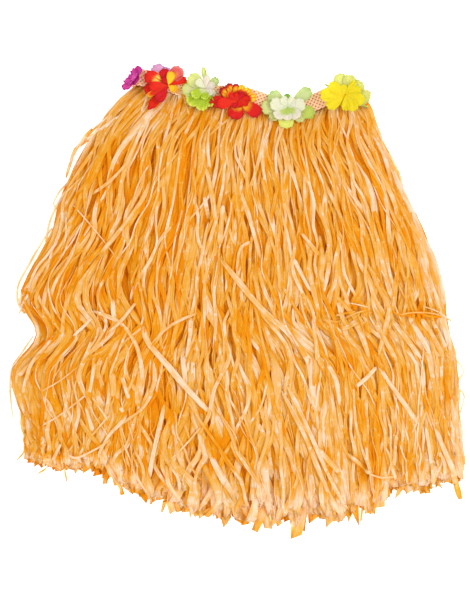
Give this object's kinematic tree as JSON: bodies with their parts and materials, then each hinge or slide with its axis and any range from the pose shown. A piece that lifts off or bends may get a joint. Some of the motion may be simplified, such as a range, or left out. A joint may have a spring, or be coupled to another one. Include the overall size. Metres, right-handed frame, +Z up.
{
  "type": "grass skirt",
  "caption": "Raffia grass skirt laid flat, front up: a plaited waistband, long loose strands in overlapping rows and fabric flowers pinned along the waist.",
  "frame": {"origin": "on the ground plane, under the middle of the skirt's box", "axes": "+Y towards the waist, along the skirt's length; +X to the wearer's left, as the front faces up; +Z up out of the front"},
  "size_m": [0.5961, 0.6082, 0.0299],
  "materials": {
    "raffia": "crinkled raffia, satin",
    "plait": "plaited raffia, matt",
    "petal_red": "printed polyester petal, soft sheen",
    "petal_lime": "printed polyester petal, soft sheen",
    "petal_pale": "printed polyester petal, soft sheen",
    "petal_yellow": "printed polyester petal, soft sheen",
    "petal_purple": "printed polyester petal, soft sheen",
    "petal_lilac": "printed polyester petal, soft sheen"
  },
  "bodies": {
    "root": {"waistband": "plait", "back_mat": "raffia", "front_mat": "raffia", "raffia_back": "raffia", "raffia_front_under": "raffia", "raffia_front_top": "raffia", "raffia_loose": "raffia", "flower_red_left": "petal_red", "flower_red_left_upper": "petal_red", "flower_lime": "petal_lime", "flower_lime_upper": "petal_lime", "flower_red_centre": "petal_red", "flower_red_centre_upper": "petal_red", "flower_pale": "petal_pale", "flower_pale_upper": "petal_pale", "flower_yellow": "petal_yellow", "flower_yellow_upper": "petal_yellow", "flower_purple": "petal_purple", "flower_purple_upper": "petal_purple", "flower_lilac": "petal_lilac"}
  },
  "joints": []
}
